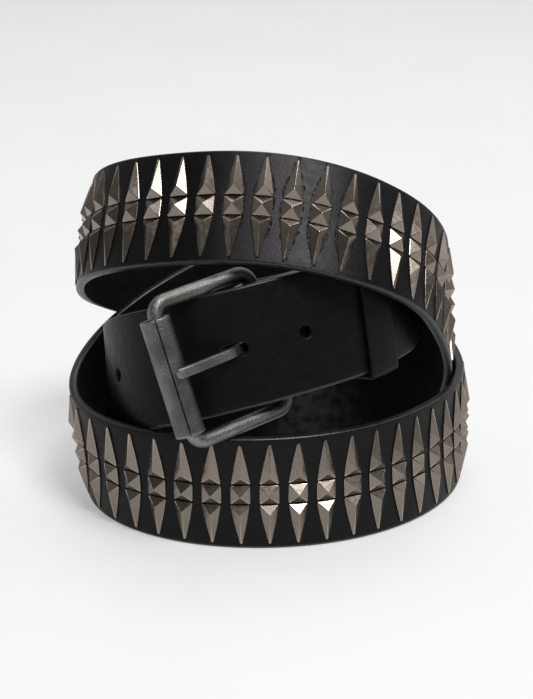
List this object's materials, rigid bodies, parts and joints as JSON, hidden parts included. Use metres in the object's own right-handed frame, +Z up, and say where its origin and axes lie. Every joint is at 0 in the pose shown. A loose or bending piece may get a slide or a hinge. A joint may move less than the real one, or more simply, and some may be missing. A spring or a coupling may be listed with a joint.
{
  "type": "belt",
  "caption": "Black leather belt with rows of pointed metal studs, fastened by a roller buckle and standing on edge in three turns.",
  "frame": {"origin": "on the floor, under the middle of the coil's bounding box", "axes": "+X to the right, +Y away from the buckle, +Z up"},
  "size_m": [0.139, 0.1312, 0.1214],
  "materials": {
    "leather": "smooth black, soft sheen",
    "buckle_metal": "antique dark grey, fine grain",
    "stud_metal": "antique nickel, warm and worn"
  },
  "bodies": {
    "root": {"strap": "leather", "buckle_frame": "buckle_metal", "roller": "buckle_metal", "tongue": "buckle_metal", "keeper": "leather", "fold_rivet_1": "stud_metal", "fold_rivet_2": "stud_metal"}
  },
  "joints": []
}
